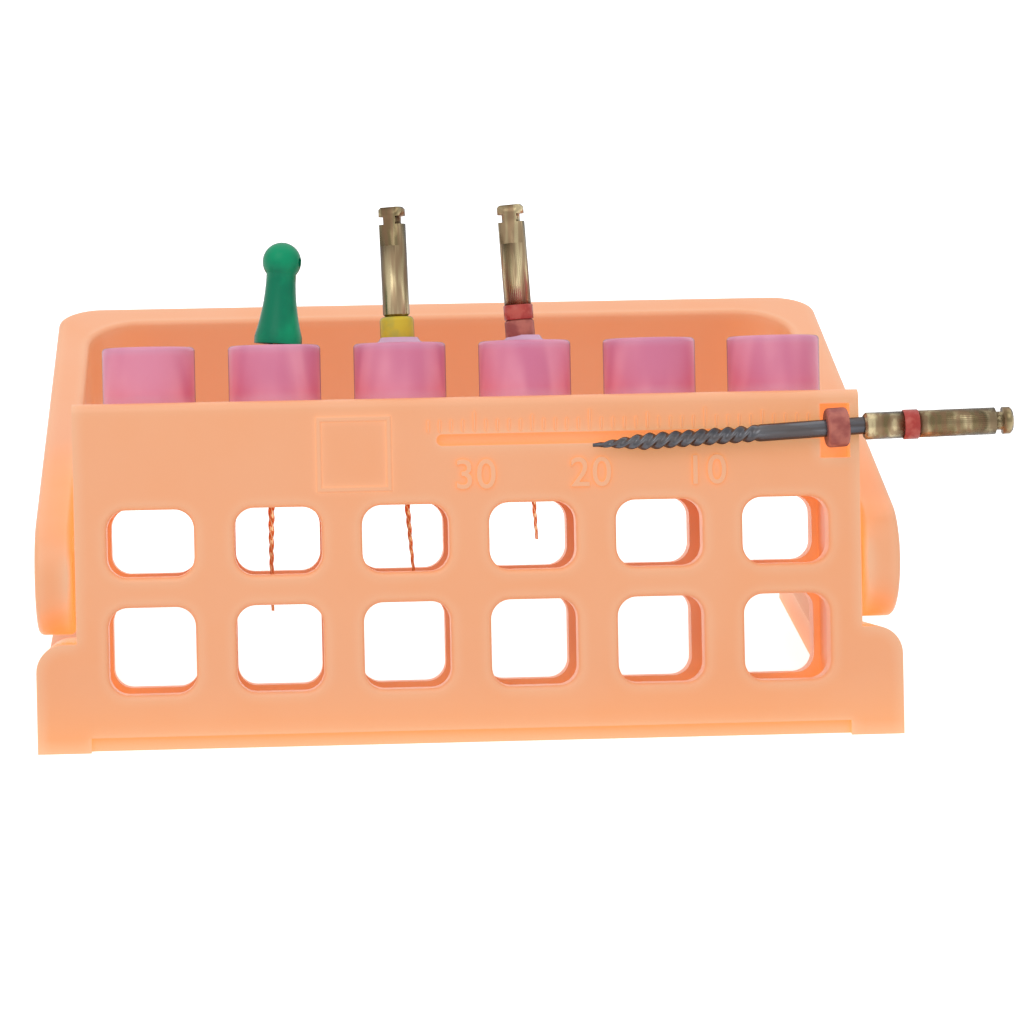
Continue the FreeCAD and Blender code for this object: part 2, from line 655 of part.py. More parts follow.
def make_ring(label):
    """A colour ring that fills its seat and stands a little proud."""
    outer = "(shank_diameter / 2 + ring_proud)"
    inner = "%s - ring_wall" % outer
    soft = "ring_proud / 2"
    return turned(label, [
        (inner, "0"), ("%s - %s" % (outer, soft), "0"), (outer, soft), (outer, "ring_length - %s" % soft),
        ("%s - %s" % (outer, soft), "ring_length"), (inner, "ring_length")])


def make_stop(label, diameter, height, blade):
    """A depth stop: a soft collar with rounded edges round its file."""
    outer, inner, soft = "%s / 2" % diameter, "%s / 2 + blade_play" % blade, "%s / 6" % height
    return turned(label, [
        (inner, "0"), ("%s - %s" % (outer, soft), "0", "%s - %s" % (outer, soft), soft, 1),
        (outer, soft), (outer, "%s - %s" % (height, soft), "%s - %s" % (outer, soft),
                        "%s - %s" % (height, soft), 1),
        ("%s - %s" % (outer, soft), height), (inner, height)])


def make_blade(label, diameter, reach):
    """A standing file's blade: root in its shank or grip, smooth shaft, then a taper to the tip."""
    radius = "%s / 2" % diameter
    tip = "tip_diameter / 2"
    return turned(label, [
        ("0", "-(%s)" % reach), (tip, "-(%s) + %s" % (reach, tip)), (radius, "-blade_shaft"),
        (radius, "root_length"), ("0", "root_length")])


def make_grip():
    """The hand file's grip: flared base, waist and ball, bored for the blade and crossed by a small eye."""
    base, waist, ball = "hand_base_diameter / 2", "hand_waist_diameter / 2", "hand_ball_diameter / 2"
    bore = "hand_blade_diameter / 2 + root_play"
    centre = "(hand_grip_length - %s)" % ball
    neck = "(%s - sqrt((%s)^2 - (%s)^2))" % (centre, ball, waist)
    sweep = "(((%s - %s)^2 + (%s - hand_base_band)^2) / (2 * (%s - %s)))" % (base, waist, neck, base, waist)
    body = turned("hand_file_handle", [
        ("0", "root_length + root_play"), (bore, "root_length + root_play"), (bore, "0"), (base, "0"),
        (base, "hand_base_band", "%s + %s" % (waist, sweep), neck, -1),
        (waist, neck, "0", centre, 1), ("0", "hand_grip_length")])
    eye = new_sketch(body, "eye", "XZ_Plane")
    add_circle(eye, "0", centre, "hand_eye_diameter / 2")
    pocket(body, eye, "2 * hand_ball_diameter", both=True)
    return body


def make_standing_files():
    """The three files that stand in the plugs."""
    hand = {"tilt": "hand_tilt"}
    grip = make_grip()
    stand_in_shelf(grip, "hand_column", "plug_height + hand_lift", **hand)
    blade = make_blade("hand_file_blade", "hand_blade_diameter", "hand_blade_reach")
    stand_in_shelf(blade, "hand_column", "plug_height + hand_lift", **hand)
    made = [grip, blade]
    for letter, ring in (("a", None), ("b", "0")):
        name = "rotary_" + letter
        above = "plug_height + %s_stop_height" % name
        stop = make_stop(name + "_stop", name + "_stop_diameter", name + "_stop_height",
                         name + "_blade_diameter")
        stand_in_shelf(stop, name + "_column", "plug_height")
        shank = make_shank(name + "_shank", name + "_shank_length", name + "_blade_diameter", ring)
        blade = make_blade(name + "_blade", name + "_blade_diameter", name + "_blade_reach")
        pieces = [shank, blade]
        if ring:
            pieces.append(make_ring(name + "_ring"))
        for piece in pieces:
            stand_in_shelf(piece, name + "_column", above)
        made += [stop] + pieces
    return made


# The file on the ruler: drawn upright with the zero of the ruler at its own origin and its tip below, then
# laid down with its tip to the left

def lay_on_ruler(body, along_file):
    """Lays an upright piece on the panel, its foot at a distance along the file from the ruler's zero."""
    lean = Rotation(Vector(1, 0, 0), -size("lean"))
    lying = Rotation(Vector(0, 1, 0), 90 - size("measured_slope"))
    body.Placement = Placement(Vector(0, 0, 0), lean.multiply(lying))
    rise = "groove_rise + measured_above + (%s) * sin(measured_slope)" % along_file
    bind(body, Placement__Base__x="ruler_zero + (%s) * cos(measured_slope)" % along_file,
         Placement__Base__y=slab_y("-measured_stand_off", rise),
         Placement__Base__z=slab_z("-measured_stand_off", rise))


def make_measured_file():
    """The file that is being measured: fluted blade, shaft, stop in the notch, and a ringed latch shank."""
    shank_start = "measured_stop_height / 2 + measured_neck"
    radius, shaft = "measured_blade_diameter / 2", "measured_shaft_diameter / 2"
    tip = "measured_tip_diameter / 2"
    flutes_end = "-measured_length + measured_flute_length"
    blade = turned("measured_file_blade", [
        ("0", "-measured_length"), (tip, "-measured_length + %s" % tip),
        (radius, "-measured_length + measured_point"), (radius, flutes_end),
        (shaft, "%s + %s - %s" % (flutes_end, radius, shaft)),
        (shaft, "%s + root_length" % shank_start), ("0", "%s + root_length" % shank_start)])
    lay_on_ruler(blade, "0")
    stop = make_stop("measured_file_stop", "measured_stop_diameter", "measured_stop_height",
                     "measured_shaft_diameter")
    lay_on_ruler(stop, "-measured_stop_height / 2")
    shank = make_shank("measured_file_shank", "measured_shank_length", "measured_shaft_diameter",
                       "measured_ring_place")
    lay_on_ruler(shank, shank_start)
    ring = make_ring("measured_file_ring")
    lay_on_ruler(ring, "%s + measured_ring_place + root_play / 2" % shank_start)
    return [blade, stop, shank, ring]


# The whole model

pierced = {
    int(size("hand_column")): ("hand_blade_diameter", "hand_tilt"),
    int(size("rotary_a_column")): ("rotary_a_blade_diameter", "0"),
    int(size("rotary_b_column")): ("rotary_b_blade_diameter", "0"),
}
pieces = [make_stand(), make_cover()]
for number in range(1, int(size("column_count")) + 1):
    pieces.append(make_plug(number, *pierced.get(number, (None,))))
pieces += make_standing_files()
pieces += make_measured_file()
doc.recompute()

for thing in doc.Objects:
    if "Invalid" in thing.State or "Error" in thing.State:
        raise RuntimeError("%s failed: %s" % (thing.Name, thing.State))
for piece in pieces:
    if piece.Shape.isNull() or not piece.Shape.isValid() or len(piece.Shape.Solids) != 1:
        raise RuntimeError("%s isn't one sound solid" % piece.Label)

os.makedirs("parts", exist_ok=True)
for piece in pieces:
    piece.Shape.exportStep("parts/%s.step" % piece.Label)
    box = piece.Shape.BoundBox
    print("%-22s %8.1f mm3  X %6.1f %6.1f  Y %6.1f %6.1f  Z %6.1f %6.1f" % (
        piece.Label, piece.Shape.Volume, box.XMin, box.XMax, box.YMin, box.YMax, box.ZMin, box.ZMax))
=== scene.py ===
"""Looks of a root canal file holder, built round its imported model.

Lengths are in metres and angles in degrees. X runs to the right along the stand, Y to the back and
Z up. The slab of the stand leans back, so what lies on it is placed in slab coordinates: depth runs
from the front panel to the back, square to the panel, and rise runs up along the panel.
"""
import json
import logging
import math
from dataclasses import dataclass
from enum import Enum

import bmesh
import bpy
from mathutils import Matrix, Vector


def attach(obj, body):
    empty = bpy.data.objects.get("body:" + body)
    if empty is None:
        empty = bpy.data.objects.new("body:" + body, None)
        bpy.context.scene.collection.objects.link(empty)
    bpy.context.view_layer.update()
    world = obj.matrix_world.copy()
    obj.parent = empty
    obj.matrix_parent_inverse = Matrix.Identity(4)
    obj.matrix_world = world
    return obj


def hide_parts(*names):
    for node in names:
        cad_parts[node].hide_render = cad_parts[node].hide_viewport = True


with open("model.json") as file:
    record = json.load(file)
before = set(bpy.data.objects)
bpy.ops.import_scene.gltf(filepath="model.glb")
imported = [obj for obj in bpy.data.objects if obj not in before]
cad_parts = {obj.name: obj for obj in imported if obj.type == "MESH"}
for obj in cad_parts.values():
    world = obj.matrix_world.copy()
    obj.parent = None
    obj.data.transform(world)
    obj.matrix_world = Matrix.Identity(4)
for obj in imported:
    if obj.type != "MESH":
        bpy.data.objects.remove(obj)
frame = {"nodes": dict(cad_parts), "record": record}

log = logging.getLogger("file_holder")

MM = 0.001
WELD = 0.001 * MM
Colour = tuple[float, float, float]
BLACK: Colour = (0.0, 0.0, 0.0)
WHITE: Colour = (1.0, 1.0, 1.0)


class Body(Enum):
    """The two bodies of the holder that pieces ride on."""

    STAND = "stand"
    COVER = "cover"


class Slot(Enum):
    """The record's material slots."""

    MOULDING = "orange_moulding"
    SILICONE = "pink_silicone"
    GRIP = "green_grip"
    STEEL = "file_steel"
    GILT = "gilt_shank"
    RING = "red_ring"
    YELLOW = "yellow_stop"
    BROWN = "brown_stop"


def srgb(red: int, green: int, blue: int) -> Colour:
    """A colour written as screen values from 0 to 255, as linear light.

    Args:
        red: Screen value of red.
        green: Screen value of green.
        blue: Screen value of blue.

    Returns:
        The three linear values.
    """
    def linear(value: int) -> float:
        """One channel as linear light.

        Args:
            value: Its screen value.

        Returns:
            Its linear value.
        """
        share = value / 255
        return share / 12.92 if share <= 0.04045 else ((share + 0.055) / 1.055) ** 2.4

    return linear(red), linear(green), linear(blue)


@dataclass(frozen=True)
class Slab:
    """The leaning slab of the stand, as the coordinates of what lies on it or stands in it.

    The measured file lies in the groove, its axis a little above the groove's line and in front of
    the panel.
    """

    lean: float = 15.0
    origin_depth: float = 1.4 * MM
    column_pitch: float = 11.0 * MM
    column_count: int = 6
    end_margin: float = 6.5 * MM
    shelf_rise: float = 30.0 * MM
    plug_depth: float = 5.5 * MM
    plug_height: float = 4.9 * MM
    zero_inset: float = 3.4 * MM
    notch_width: float = 2.6 * MM
    groove_rise: float = 26.3 * MM
    measured_above: float = 0.4 * MM
    measured_stand_off: float = 0.87 * MM

    @property
    def zero_x(self) -> float:
        """The ruler's zero, at the notch's left wall.

        Returns:
            Its place along the slab.
        """
        half_width = self.column_pitch * (self.column_count - 1) / 2 + self.end_margin
        return half_width - self.zero_inset

    def matrix(self, x: float, depth: float, rise: float) -> Matrix:
        """Frame of a thing on the slab: X along it, Y inwards and square to it, Z up along it.

        Args:
            x: Place along the slab.
            depth: Distance behind the front panel.
            rise: Distance up along the panel.

        Returns:
            The matrix from that frame to the world.
        """
        turn = Matrix.Rotation(-math.radians(self.lean), 4, "X")
        place = turn @ Vector((0, depth, rise))
        return Matrix.Translation((x, place.y - self.origin_depth, place.z)) @ turn

    def column_matrix(self, column: int, above: float = 0.0) -> Matrix:
        """Frame of a thing on the axis of a file column.

        Args:
            column: The column, counted from 1 at the left.
            above: Distance above the shelf.

        Returns:
            The matrix from that frame to the world.
        """
        x = self.column_pitch * (column - (self.column_count + 1) / 2)
        return self.matrix(x, self.plug_depth, self.shelf_rise + above)

    def groove_matrix(self, ahead: float = 0.0, up: float = 0.0) -> Matrix:
        """Frame of a thing on the measured file, by its distance from the middle of the stop.

        Args:
            ahead: Distance to the right, along the slab.
            up: Distance up along the slab.

        Returns:
            The matrix from that frame to the world.
        """
        return self.matrix(self.zero_x + self.notch_width / 2 + ahead, -self.measured_stand_off,
                           self.groove_rise + self.measured_above + up)


SLAB = Slab()
HAND_FILE, FILE_A, FILE_B, ON_RULER = 2, 3, 4, 0
TILT = {HAND_FILE: 4.0, FILE_A: -1.5, FILE_B: -3.5, ON_RULER: 1.8}


class Nodes:
    """Small helper that adds and links the nodes of one node tree."""

    def __init__(self, tree: bpy.types.NodeTree) -> None:
        """Starts on a node tree.

        Args:
            tree: The tree of a material, a world or a node group.
        """
        self.tree = tree

    def add(self, kind: str, **settings: object) -> bpy.types.Node:
        """Adds a node and sets its properties.

        Args:
            kind: The node's type, without its ShaderNode prefix.
            settings: Properties of the node by name.

        Returns:
            The new node.
        """
        node = self.tree.nodes.new(kind if kind.startswith("Node") else "ShaderNode" + kind)
        for name, value in settings.items():
            setattr(node, name, value)
        return node

    def feed(self, socket: bpy.types.NodeSocket, source: object) -> None:
        """Links a socket to another socket, or gives it a plain value.

        Args:
            socket: The input that is fed.
            source: An output socket, a number, a colour or a vector.
        """
        if isinstance(source, bpy.types.NodeSocket):
            self.tree.links.new(source, socket)
            return
        if socket.type == "RGBA" and len(source) == 3:
            source = (*source, 1.0)
        socket.default_value = source

    def math(self, operation: str, first: object, second: object) -> object:
        """Adds a Math node.

        Args:
            operation: What it does.
            first: What its first input gets.
            second: What its second input gets.

        Returns:
            The socket of its result.
        """
        node = self.add("Math", operation=operation)
        self.feed(node.inputs[0], first)
        self.feed(node.inputs[1], second)
        return node.outputs[0]

    def mix(self, share: object, first: object, second: object) -> object:
        """Adds a mix of two colours.

        Args:
            share: Share of the second colour.
            first: The first colour.
            second: The second colour.

        Returns:
            The socket of the mixed colour.
        """
        node = self.add("Mix", data_type="RGBA")
        self.feed(node.inputs[6], first)
        self.feed(node.inputs[7], second)
        self.feed(node.inputs[0], share)
        return node.outputs[2]

    def remap(self, value: object, low: float, high: float, start: float = 0.0, end: float = 1.0,
              smooth: bool = True) -> object:
        """Maps a value to another range and holds it at both ends.

        Args:
            value: The value.
            low: The value that gives the start.
            high: The value that gives the end.
            start: Result at the low value.
            end: Result at the high value.
            smooth: Whether the change eases in and out.

        Returns:
            The socket of the result.
        """
        node = self.add("MapRange", interpolation_type="SMOOTHSTEP" if smooth else "LINEAR")
        for socket, source in zip(node.inputs, (value, low, high, start, end)):
            self.feed(socket, source)
        return node.outputs[0]

    def noise(self, vector: object, scale: object, detail: float = 2.0) -> object:
        """Adds a Noise Texture.

        Args:
            vector: Place in the noise.
            scale: Its scale.
            detail: How many finer layers it has.

        Returns:
            The socket of its value.
        """
        node = self.add("TexNoise")
        self.feed(node.inputs["Vector"], vector)
        self.feed(node.inputs["Scale"], scale)
        self.feed(node.inputs["Detail"], detail)
        return node.outputs["Fac"]

    def place(self) -> object:
        """Adds the coordinates of the piece itself.

        Returns:
            Their socket.
        """
        return self.add("TexCoord").outputs["Object"]

    def seen_directly(self) -> object:
        """Adds a mask of the rays that show a surface, straight, mirrored or through something.

        Returns:
            The socket of the mask.
        """
        rays = self.add("LightPath").outputs
        seen = self.math("MAXIMUM", rays["Is Camera Ray"], rays["Is Glossy Ray"])
        return self.math("MAXIMUM", seen, rays["Is Transmission Ray"])


def new_group(name: str, inputs: dict[str, tuple[str, object]],
              outputs: dict[str, str]) -> tuple[bpy.types.NodeTree, Nodes, object, object]:
    """Makes an empty shader node group with named sockets.

    Args:
        name: Name of the group.
        inputs: Socket type and default by input name.
        outputs: Socket type by output name.

    Returns:
        The tree, its helper, and its input and output nodes.
    """
    tree = bpy.data.node_groups.new(name, "ShaderNodeTree")
    for label, (kind, default) in inputs.items():
        socket = tree.interface.new_socket(label, in_out="INPUT", socket_type=kind)
        if default is not None:
            socket.default_value = default
    for label, kind in outputs.items():
        tree.interface.new_socket(label, in_out="OUTPUT", socket_type=kind)
    nodes = Nodes(tree)
    return tree, nodes, nodes.add("NodeGroupInput"), nodes.add("NodeGroupOutput")


FLOAT, COLOUR, VECTOR = "NodeSocketFloat", "NodeSocketColor", "NodeSocketVector"


class Effects:
    """The effects that several finishes share, as node groups made once."""

    def __init__(self) -> None:
        """Makes every group."""
        self.grain = self.make_grain()
        self.mottle = self.make_mottle()
        # Mask of outer edges, where a pale colour is painted as a highlight in place of light
        # caught by the rounding.
        self.wear = self.make_nearness("painted_edge_highlight", inside=True, only_local=True)
        # Mask of hollows, where painted shade and a painted glow go in place of light bounced and
        # let through there.
        self.hollow = self.make_nearness("painted_hollow_shade_and_glow")
        self.turning = self.make_turning()

    @staticmethod
    def make_grain() -> bpy.types.NodeTree:
        """Fine moulded grain: a height and a small change of roughness.

        Returns:
            The node group.
        """
        tree, nodes, given, result = new_group(
            "moulded_grain",
            {"Scale": (FLOAT, 900.0), "Roughness": (FLOAT, 0.45), "Spread": (FLOAT, 0.1)},
            {"Height": FLOAT, "Roughness": FLOAT})
        middle, broad_scale, broad_share = 0.5, 140.0, 1.5
        place = nodes.place()
        fine = nodes.noise(place, given.outputs["Scale"], detail=3.0)
        broad = nodes.noise(place, broad_scale)
        height = nodes.math("ADD", fine, nodes.math("MULTIPLY", broad, broad_share))
        nodes.feed(result.inputs["Height"], height)
        shift = nodes.math("MULTIPLY", nodes.math("SUBTRACT", broad, middle),
                           given.outputs["Spread"])
        nodes.feed(result.inputs["Roughness"], nodes.math("ADD", given.outputs["Roughness"], shift))
        return tree

    @staticmethod
    def make_mottle() -> bpy.types.NodeTree:
        """Slow drift of colour through a moulding, between two tints.

        Returns:
            The node group.
        """
        tree, nodes, given, result = new_group(
            "moulded_mottle",
            {"Colour": (COLOUR, (*WHITE, 1.0)), "Tint": (COLOUR, (*WHITE, 1.0)),
             "Scale": (FLOAT, 60.0), "Amount": (FLOAT, 0.5)},
            {"Colour": COLOUR})
        cloud = nodes.noise(nodes.place(), given.outputs["Scale"], detail=4.0)
        mask = nodes.remap(cloud, low=0.38, high=0.66)
        share = nodes.math("MULTIPLY", mask, given.outputs["Amount"])
        nodes.feed(result.inputs["Colour"],
                   nodes.mix(share, given.outputs["Colour"], given.outputs["Tint"]))
        return tree

    @staticmethod
    def make_nearness(name: str, **settings: bool) -> bpy.types.NodeTree:
        """A mask that is 1 where other faces lie near: deep in hollows, or inside on outer edges.

        Args:
            name: Name of the group.
            settings: Properties of the node that looks for the faces.

        Returns:
            The node group.
        """
        tree, nodes, given, result = new_group(
            name, {"Reach": (FLOAT, MM), "Amount": (FLOAT, 1.0)}, {"Mask": FLOAT})
        near = nodes.add("AmbientOcclusion", samples=1, **settings)
        nodes.feed(near.inputs["Distance"], given.outputs["Reach"])
        closed = nodes.math("SUBTRACT", 1.0, near.outputs["AO"])
        nodes.feed(result.inputs["Mask"], nodes.math("MULTIPLY", closed, given.outputs["Amount"]))
        return tree

    @staticmethod
    def make_turning() -> bpy.types.NodeTree:
        """Fine rings, fine tarnish streaks and broad painted reflection streaks of a turned piece
        standing along Z.

        Returns:
            The node group.
        """
        tree, nodes, given, result = new_group(
            "turning_marks",
            {"Vector": (VECTOR, None), "Rings": (FLOAT, 9000.0), "Broad": (FLOAT, 500.0),
             "Fine": (FLOAT, 1800.0)},
            {"Height": FLOAT, "Broad": FLOAT, "Fine": FLOAT})
        along = 0.1
        parts = nodes.add("SeparateXYZ")
        nodes.feed(parts.inputs[0], given.outputs["Vector"])
        ring = nodes.add("TexNoise", noise_dimensions="1D")
        nodes.feed(ring.inputs["W"], parts.outputs["Z"])
        nodes.feed(ring.inputs["Scale"], given.outputs["Rings"])
        ring.inputs["Detail"].default_value = 2.0
        flat = nodes.add("VectorMath", operation="MULTIPLY")
        nodes.feed(flat.inputs[0], given.outputs["Vector"])
        flat.inputs[1].default_value = (1.0, 1.0, along)
        nodes.feed(result.inputs["Height"], ring.outputs["Fac"])
        for label in ("Broad", "Fine"):
            streak = nodes.noise(flat.outputs[0], given.outputs[label], detail=1.0)
            nodes.feed(result.inputs[label], nodes.remap(streak, low=0.38, high=0.62))
        return tree


def new_material(name: str) -> tuple[bpy.types.Material, Nodes, object]:
    """A material with a bare Principled shader.

    Args:
        name: Name of the material.

    Returns:
        The material, the helper of its tree, and its shader node.
    """
    material = bpy.data.materials.new(name)
    material.use_nodes = True
    nodes = Nodes(material.node_tree)
    return material, nodes, material.node_tree.nodes["Principled BSDF"]


def place_group(nodes: Nodes, tree: bpy.types.NodeTree, **values: object) -> bpy.types.Node:
    """Places a node group in a tree and feeds its inputs.

    Args:
        nodes: Helper of the tree that gets the group.
        tree: The group.
        values: What each input gets, by its name.

    Returns:
        The group's node.
    """
    node = nodes.add("Group", node_tree=tree)
    for name, source in values.items():
        nodes.feed(node.inputs[name], source)
    return node


def rim_darkened(nodes: Nodes, colour: object, dark: Colour, start: float, end: float,
                 amount: float) -> object:
    """Paints shade into a colour where its surface turns away from the viewer.

    Args:
        nodes: Helper of the material's tree.
        colour: The colour of the face.
        dark: The colour of the painted shade at the outline.
        start: Where the change starts, 0 facing the viewer and 1 edge on.
        end: Where it is complete.
        amount: Share of the painted shade at the outline.

    Returns:
        The socket of the colour.
    """
    facing = nodes.add("LayerWeight").outputs["Facing"]
    return nodes.mix(nodes.remap(facing, start, end, 0.0, amount), colour, dark)


def bump(nodes: Nodes, shader: bpy.types.Node, height: object, strength: float,
         distance: float) -> None:
    """Feeds a height to a shader's normal through a Bump node.

    Args:
        nodes: Helper of the material's tree.
        shader: The Principled shader.
        height: Socket with the height.
        strength: Strength of the bump.
        distance: Height of the bump in metres.
    """
    node = nodes.add("Bump")
    node.inputs["Strength"].default_value = strength
    node.inputs["Distance"].default_value = distance
    nodes.feed(node.inputs["Height"], height)
    nodes.feed(shader.inputs["Normal"], node.outputs[0])


@dataclass(frozen=True)
class MouldedPlastic:
    """Satin moulded plastic with fine grain, a painted highlight on outer edges, and painted shade
    and a painted glow in hollows.
    """

    name: str
    colour: Colour
    tint: Colour
    edge: Colour
    # Colour of the painted shade in hollows: a darker, more saturated orange.
    hollow: Colour
    # Colour of the painted glow in hollows, an emission that lifts their shade.
    glow: Colour
    edge_amount: float = 1.0
    glow_strength: float = 0.5
    roughness: float = 0.4

    def make(self, effects: Effects) -> bpy.types.Material:
        """Makes the material.

        Args:
            effects: The shared node groups.

        Returns:
            The material.
        """
        material, nodes, shader = new_material(self.name)
        mottle = place_group(nodes, effects.mottle, Colour=self.colour, Tint=self.tint,
                             Scale=70.0, Amount=0.7)
        # Hollows turn a darker, more saturated orange as painted shade, and glow with a painted
        # emission that lifts that shade.
        hollow = place_group(nodes, effects.hollow, Reach=7 * MM, Amount=0.9)
        deep = nodes.mix(hollow.outputs["Mask"], mottle.outputs["Colour"], self.hollow)
        # Outer edges turn paler: a painted highlight.
        wear = place_group(nodes, effects.wear, Reach=1.2 * MM, Amount=self.edge_amount)
        nodes.feed(shader.inputs["Base Color"], nodes.mix(wear.outputs["Mask"], deep, self.edge))
        nodes.feed(shader.inputs["Emission Color"],
                   nodes.mix(hollow.outputs["Mask"], BLACK, self.glow))
        shader.inputs["Emission Strength"].default_value = self.glow_strength
        grain = place_group(nodes, effects.grain, Scale=1500.0, Roughness=self.roughness,
                            Spread=0.12)
        nodes.feed(shader.inputs["Roughness"], grain.outputs["Roughness"])
        bump(nodes, shader, grain.outputs["Height"], strength=0.2, distance=0.015 * MM)
        shader.inputs["IOR"].default_value = 1.5
        return material


@dataclass(frozen=True)
class Silicone:
    """Soft coloured silicone with upright bands of painted reflection, painted highlights on its
    top edges and painted shade at its outline.
    """

    name: str
    colour: Colour
    band: Colour
    pale: Colour
    rim: Colour
    outline: Colour
    roughness: float = 0.4
    band_scale: float = 330.0
    band_along: float = 0.12
    band_amount: float = 0.7

    def make(self, effects: Effects) -> bpy.types.Material:
        """Makes the material.

        Args:
            effects: The shared node groups.

        Returns:
            The material.
        """
        material, nodes, shader = new_material(self.name)
        # Upright bands of darker pink are painted reflections and shade of the round plug.
        upright = nodes.add("Mapping")
        nodes.feed(upright.inputs["Vector"], nodes.place())
        upright.inputs["Rotation"].default_value = (math.radians(SLAB.lean), 0, 0)
        upright.inputs["Scale"].default_value = (1.0, 1.0, self.band_along)
        reflection_bands = nodes.remap(nodes.noise(upright.outputs[0], self.band_scale, detail=1.0),
                            low=0.4, high=0.64)
        mottle = place_group(nodes, effects.mottle, Colour=self.colour, Tint=self.pale,
                             Scale=240.0, Amount=0.6)
        reflection_banded = nodes.mix(nodes.math("MULTIPLY", reflection_bands, self.band_amount),
                           mottle.outputs["Colour"], self.band)
        # Pale lilac on the outer edges of the plug is a painted highlight.
        wear = place_group(nodes, effects.wear, Reach=0.9 * MM, Amount=1.3)
        rim_highlighted = nodes.mix(wear.outputs["Mask"], reflection_banded, self.rim)
        # The outline darkens where the surface turns away: painted shade.
        nodes.feed(shader.inputs["Base Color"],
                   rim_darkened(nodes, rim_highlighted, self.outline, start=0.72, end=0.97, amount=0.9))
        grain = place_group(nodes, effects.grain, Scale=1100.0, Roughness=self.roughness,
                            Spread=0.1)
        nodes.feed(shader.inputs["Roughness"], grain.outputs["Roughness"])
        bump(nodes, shader, grain.outputs["Height"], strength=0.2, distance=0.02 * MM)
        shader.inputs["IOR"].default_value = 1.43
        return material


@dataclass(frozen=True)
class GlossPlastic:
    """Glossy coloured plastic or paint with a drift of colour and painted shade at its outline."""

    name: str
    colour: Colour
    tint: Colour
    outline: Colour
    roughness: float = 0.25
    drift: float = 500.0
    shine: float = 0.3

    def make(self, effects: Effects) -> bpy.types.Material:
        """Makes the material.

        Args:
            effects: The shared node groups.

        Returns:
            The material.
        """
        material, nodes, shader = new_material(self.name)
        mottle = place_group(nodes, effects.mottle, Colour=self.colour, Tint=self.tint,
                             Scale=self.drift, Amount=0.9)
        # The outline darkens where the surface turns away: painted shade.
        nodes.feed(shader.inputs["Base Color"],
                   rim_darkened(nodes, mottle.outputs["Colour"], self.outline, start=0.6, end=0.98,
                                amount=0.85))
        grain = place_group(nodes, effects.grain, Scale=2500.0, Roughness=self.roughness,
                            Spread=0.15)
        nodes.feed(shader.inputs["Roughness"], grain.outputs["Roughness"])
        bump(nodes, shader, grain.outputs["Height"], strength=0.15, distance=0.01 * MM)
        shader.inputs["Specular IOR Level"].default_value = self.shine
        return material


@dataclass(frozen=True)
class TurnedMetal:
    """A turned metal with broad streaks of painted reflection along its axis, fine tarnish, and
    painted shade at its outline.
    """

    name: str
    colour: Colour
    streak: Colour
    tarnish: Colour
    outline: Colour
    turn: tuple[float, float, float]
    roughness: float = 0.26
    spread: float = 0.14
    tarnished: float = 0.6

    def make(self, effects: Effects) -> bpy.types.Material:
        """Makes the material.

        Args:
            effects: The shared node groups.

        Returns:
            The material.
        """
        material, nodes, shader = new_material(self.name)
        turned = nodes.add("Mapping")
        nodes.feed(turned.inputs["Vector"], nodes.place())
        turned.inputs["Rotation"].default_value = [math.radians(angle) for angle in self.turn]
        marks = place_group(nodes, effects.turning, Vector=turned.outputs[0], Rings=9000.0,
                            Broad=650.0, Fine=2300.0)
        # Broad streaks between two colours along the axis are painted reflections; the fine ones
        # below are tarnish.
        broad = nodes.mix(marks.outputs["Broad"], self.streak, self.colour)
        fine = nodes.math("MULTIPLY", marks.outputs["Fine"], self.tarnished)
        body = nodes.mix(fine, broad, self.tarnish)
        # The outline darkens where the surface turns away: painted shade and reflection.
        nodes.feed(shader.inputs["Base Color"],
                   rim_darkened(nodes, body, self.outline, start=0.45, end=0.9, amount=0.9))
        shader.inputs["Metallic"].default_value = 1.0
        rough = nodes.remap(marks.outputs["Fine"], low=0.0, high=1.0, start=self.roughness,
                            end=self.roughness + self.spread)
        nodes.feed(shader.inputs["Roughness"], rough)
        bump(nodes, shader, marks.outputs["Height"], strength=0.12, distance=0.01 * MM)
        return material


